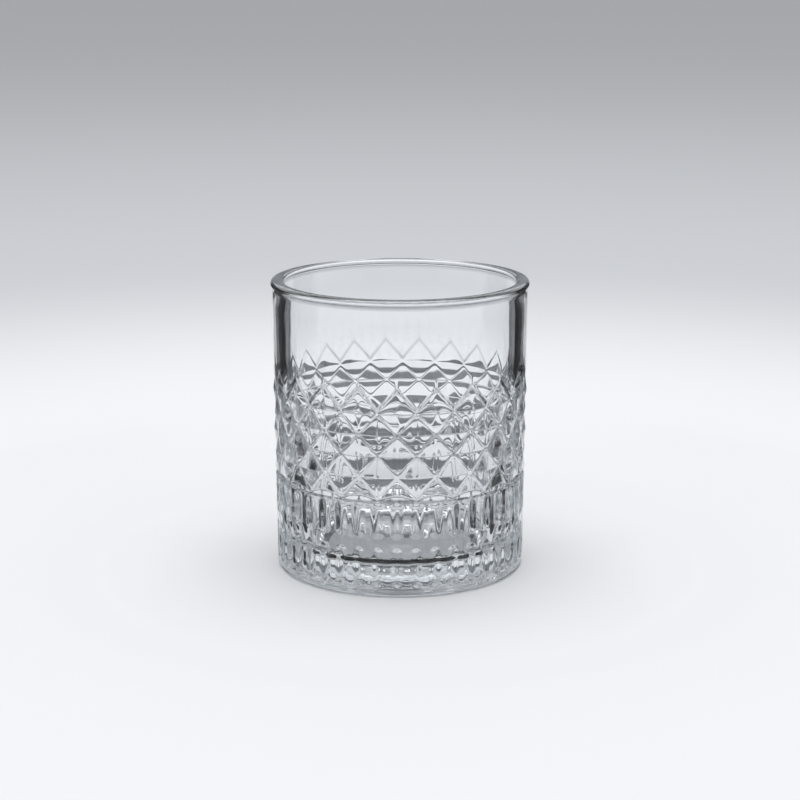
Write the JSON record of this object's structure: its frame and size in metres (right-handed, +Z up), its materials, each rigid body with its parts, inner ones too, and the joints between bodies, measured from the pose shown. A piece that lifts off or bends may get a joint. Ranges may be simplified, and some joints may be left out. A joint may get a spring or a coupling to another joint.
{
  "type": "whiskey tumbler",
  "caption": "Heavy-based clear pressed-glass drinking tumbler with a plain rim, a band of raised diamonds and short vertical flutes around the base.",
  "frame": {"origin": "centre of the plane the foot rests on, on the tumbler's axis", "axes": "+Z up along the axis, from the foot to the rim; -Y towards the side seen in the reference view"},
  "size_m": [0.082, 0.082, 0.093],
  "materials": {
    "clear_glass": "polished"
  },
  "bodies": {
    "root": {"tumbler_glass": "clear_glass"}
  },
  "joints": []
}
